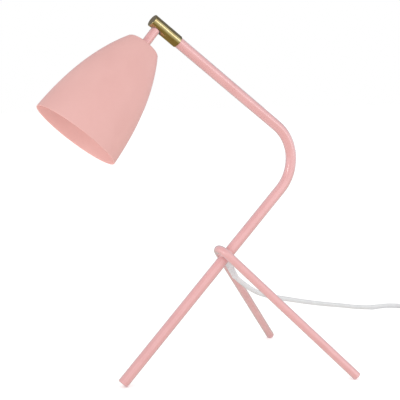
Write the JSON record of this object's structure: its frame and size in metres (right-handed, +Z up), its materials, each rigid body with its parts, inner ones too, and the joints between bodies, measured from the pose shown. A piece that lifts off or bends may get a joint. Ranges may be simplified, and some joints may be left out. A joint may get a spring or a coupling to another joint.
{
  "type": "table lamp",
  "caption": "Tripod table lamp: one bent tube is front leg and arm, a hairpin tube the rear legs; a bell shade tilts and turns in a brass sleeve, with cord, switch and plug.",
  "frame": {"origin": "on the table, under the middle of the lamp's bounding box without its cord", "axes": "+Z up, the shade and the front foot towards -X, the rear feet towards +X, left rear foot at +Y"},
  "size_m": [0.6212, 0.2598, 0.4108],
  "materials": {
    "pink_gloss": "gloss powder coat",
    "pink_satin": "satin paint inside and out",
    "brass": "polished",
    "steel": "zinc plated",
    "nylon": "natural",
    "white_plastic": "semi-gloss",
    "black_plastic": "matte",
    "ceramic": "glazed",
    "cord_grey": "satin",
    "black_strap": "matte",
    "lead_brown": "satin",
    "lead_blue": "satin",
    "bulb_metal": "bright",
    "opal_glass": "opal",
    "nickel_pin": "nickel plated"
  },
  "bodies": {
    "stand": {"main_tube": "pink_gloss", "rear_leg_tube": "pink_gloss", "weld_beads": "pink_gloss", "front_foot_plug": "pink_gloss", "left_foot_plug": "pink_gloss", "right_foot_plug": "pink_gloss", "cord_bush": "cord_grey", "arm_bush": "steel", "friction_washer": "steel", "swivel_nut": "steel", "tube_lead_brown": "lead_brown", "tube_lead_blue": "lead_blue", "supply_cord": "cord_grey", "cord_coil": "cord_grey", "coil_tie": "black_strap", "switch_base": "white_plastic", "switch_cover": "white_plastic", "switch_screws": "steel", "switch_contacts": "brass", "rocker_pin": "steel", "plug_body": "white_plastic", "plug_pins": "nickel_pin", "plug_pin_sleeves": "black_plastic"},
    "sleeve": {"brass_sleeve": "brass", "sleeve_cap": "brass", "stop_pin": "steel", "ball_seat_inner": "nylon", "ball_seat_outer": "nylon", "seat_spring": "steel"},
    "head": {"tilt_ball": "steel", "shade_stem": "pink_gloss", "stem_nipple": "brass", "shade": "pink_satin", "shade_washer": "steel", "shade_nut": "steel", "holder_cap": "white_plastic", "holder_insert": "ceramic", "holder_skirt": "white_plastic", "holder_shell": "brass", "centre_contact": "brass", "terminal_screws": "brass", "stem_lead_brown": "lead_brown", "stem_lead_blue": "lead_blue", "bulb_cap": "bulb_metal", "bulb_tip": "bulb_metal", "bulb_glass": "opal_glass"},
    "rocker": {"switch_rocker": "white_plastic"}
  },
  "joints": [
    {"name": "sleeve_swivel", "type": "hinge", "parent": "stand", "child": "sleeve", "pos_m": [-0.03583, 0, 0.39949], "axis": [-0.8018, 0, 0.5976], "range_deg": [-90, 90]},
    {"name": "shade_tilt", "type": "hinge", "parent": "sleeve", "child": "head", "pos_m": [-0.03583, 0, 0.39949], "axis": [0, 1, 0], "range_deg": [-15, 10]},
    {"name": "rocker_tip", "type": "hinge", "parent": "stand", "child": "rocker", "pos_m": [0.436, 0.064, 0.0136], "axis": [1, 0, 0], "range_deg": [0, 14]}
  ]
}
